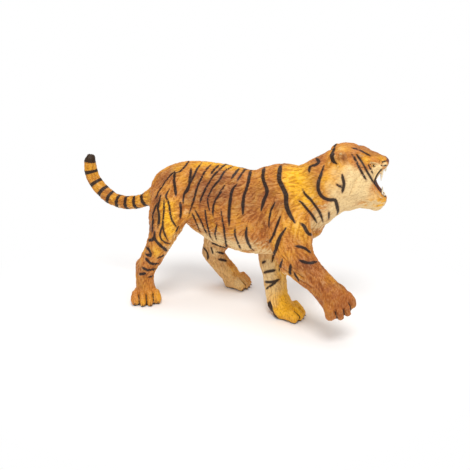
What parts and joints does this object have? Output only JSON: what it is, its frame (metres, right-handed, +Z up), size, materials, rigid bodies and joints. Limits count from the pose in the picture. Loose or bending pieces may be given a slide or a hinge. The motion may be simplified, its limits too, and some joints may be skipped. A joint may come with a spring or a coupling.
{
  "type": "tiger figurine",
  "caption": "Moulded plastic tiger in mid stride, forepaw lifted, jaws open in a roar, tail curled up, standing freely on its soles.",
  "frame": {"origin": "middle of the bounding box, at the height of the soles", "axes": "+X forward from tail to head, +Y to the tiger's left, +Z up"},
  "size_m": [0.1474, 0.052, 0.0808],
  "materials": {
    "painted_plastic": "carved fur, painted orange with dark stripes and a cream underside"
  },
  "bodies": {
    "root": {"tiger": "painted_plastic"}
  },
  "joints": []
}
